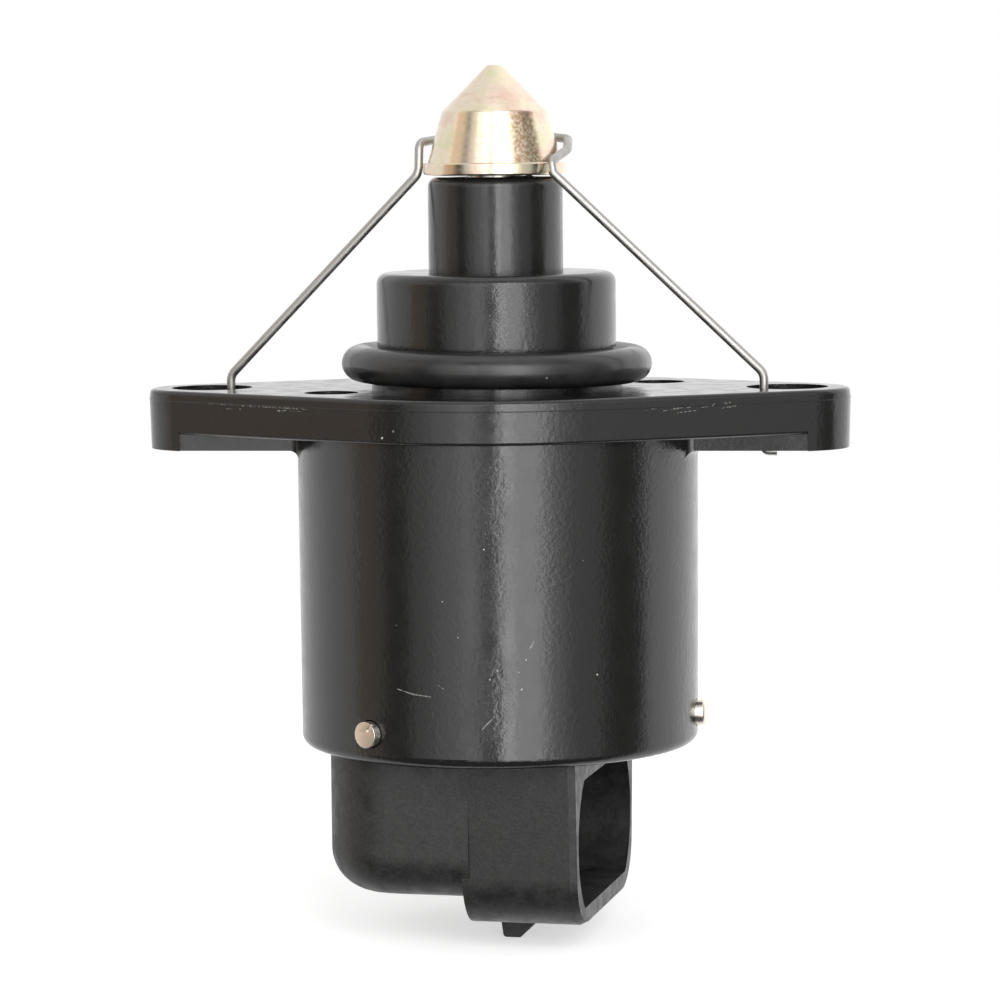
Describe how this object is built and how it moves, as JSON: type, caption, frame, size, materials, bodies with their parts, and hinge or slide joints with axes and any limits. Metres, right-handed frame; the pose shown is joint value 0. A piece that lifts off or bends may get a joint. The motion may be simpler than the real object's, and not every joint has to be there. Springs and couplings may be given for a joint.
{
  "type": "idle air control valve",
  "caption": "Black flange-mounted idle air control valve with plated cone, seal ring, wire clip over the cone and a side-facing plug socket",
  "frame": {"origin": "on the valve's axis in the flange's mating face, midway between the two mounting holes", "axes": "+X along the flange towards the right-hand hole and the plug socket's mouth, +Y away from the viewer, +Z along the axis towards the cone"},
  "size_m": [0.0608, 0.0358, 0.0753],
  "materials": {
    "housing_black": "semi-gloss moulded black",
    "cap_black": "fine matt texture",
    "rubber_black": "glossy, oiled",
    "zinc_steel": "yellow zinc plated",
    "spring_steel": "drawn wire",
    "bright_steel": "ground",
    "stator_steel": "pressed, zinc plated",
    "magnet_grey": "sintered",
    "natural_nylon": "moulded",
    "copper_wire": "enamelled winding",
    "tinned_brass": "tin plated",
    "sintered_bronze": "sintered"
  },
  "bodies": {
    "valve_body": {"housing": "housing_black", "seal_ring": "rubber_black", "guide_bush": "natural_nylon", "pintle_spring": "bright_steel", "bearing_outer_ring": "bright_steel", "preload_washer": "bright_steel", "upper_stator_cup": "stator_steel", "upper_stator_plate": "stator_steel", "lower_stator_plate": "stator_steel", "lower_stator_cup": "stator_steel", "upper_bobbin": "natural_nylon", "lower_bobbin": "natural_nylon", "upper_coil": "copper_wire", "lower_coil": "copper_wire", "terminal_1": "tinned_brass", "terminal_2": "tinned_brass", "terminal_3": "tinned_brass", "terminal_4": "tinned_brass", "connector_cap": "cap_black", "cap_seal": "rubber_black", "retaining_pins": "bright_steel", "rear_bush": "sintered_bronze", "thrust_washer": "bright_steel"},
    "rotor": {"rotor_hub": "natural_nylon", "rotor_magnet": "magnet_grey", "bearing_inner_ring": "bright_steel"},
    "ball_set": {"bearing_balls": "bright_steel", "bearing_cage": "natural_nylon"},
    "plunger": {"pintle": "zinc_steel", "lead_screw": "bright_steel"},
    "clip": {"wire_clip": "spring_steel"}
  },
  "joints": [
    {"name": "rotor_spin", "type": "hinge", "parent": "valve_body", "child": "rotor", "pos_m": [0, 0, 0], "axis": [0, 0, 1], "range_deg": [0, 2880]},
    {"name": "cage_spin", "type": "hinge", "parent": "valve_body", "child": "ball_set", "pos_m": [0, 0, 0], "axis": [0, 0, 1], "range_deg": [0, 1163.6]},
    {"name": "pintle_slide", "type": "slide", "parent": "valve_body", "child": "plunger", "axis": [0, 0, 1], "range_m": [0, 0.008], "deforming": ["pintle_spring"]},
    {"name": "clip_lift", "type": "slide", "parent": "plunger", "child": "clip", "axis": [0, 0, 1], "range_m": [0, 0.035]}
  ],
  "couplings": [
    {"joint": "rotor_spin", "follows": "pintle_slide", "rad_per_m": 6283.2},
    {"joint": "cage_spin", "follows": "pintle_slide", "rad_per_m": 2538.4}
  ]
}
